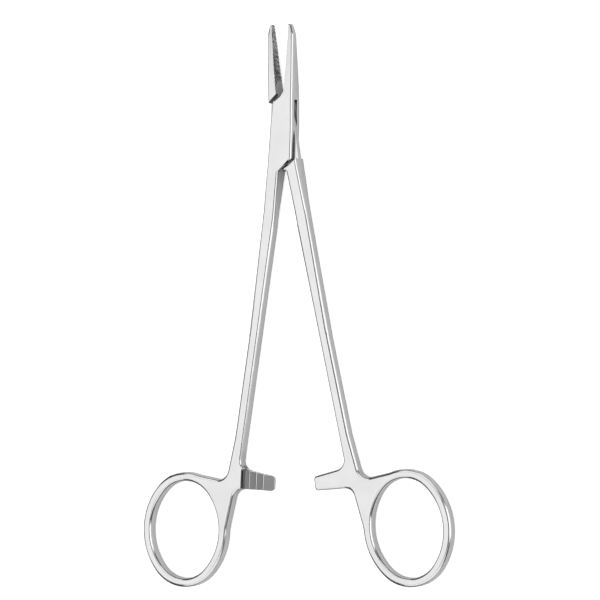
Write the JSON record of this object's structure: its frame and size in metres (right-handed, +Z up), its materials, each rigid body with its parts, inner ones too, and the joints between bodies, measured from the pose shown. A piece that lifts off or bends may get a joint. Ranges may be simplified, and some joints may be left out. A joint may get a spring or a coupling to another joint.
{
  "type": "surgical needle holder",
  "caption": "Surgical needle holder in satin steel with a box lock, cross-cut jaws, meeting ratchet bars and finger rings.",
  "frame": {"origin": "on the pivot axis, at the back face of the box lock, which is the face it rests on", "axes": "+Y from the pivot to the jaw tips, +X across towards the ring of the male half, +Z up along the pivot axis"},
  "size_m": [0.1064, 0.1765, 0.0062],
  "materials": {
    "forged_steel": "satin",
    "rivet_steel": "satin, ground flush with the box"
  },
  "bodies": {
    "female": {"female_half": "forged_steel", "rivet": "rivet_steel"},
    "male": {"male_half": "forged_steel"}
  },
  "joints": [
    {"name": "box_lock_pivot", "type": "hinge", "parent": "female", "child": "male", "pos_m": [0, 0, 0.0031], "axis": [0, 0, 1], "range_deg": [-9.5, 30.4]}
  ]
}
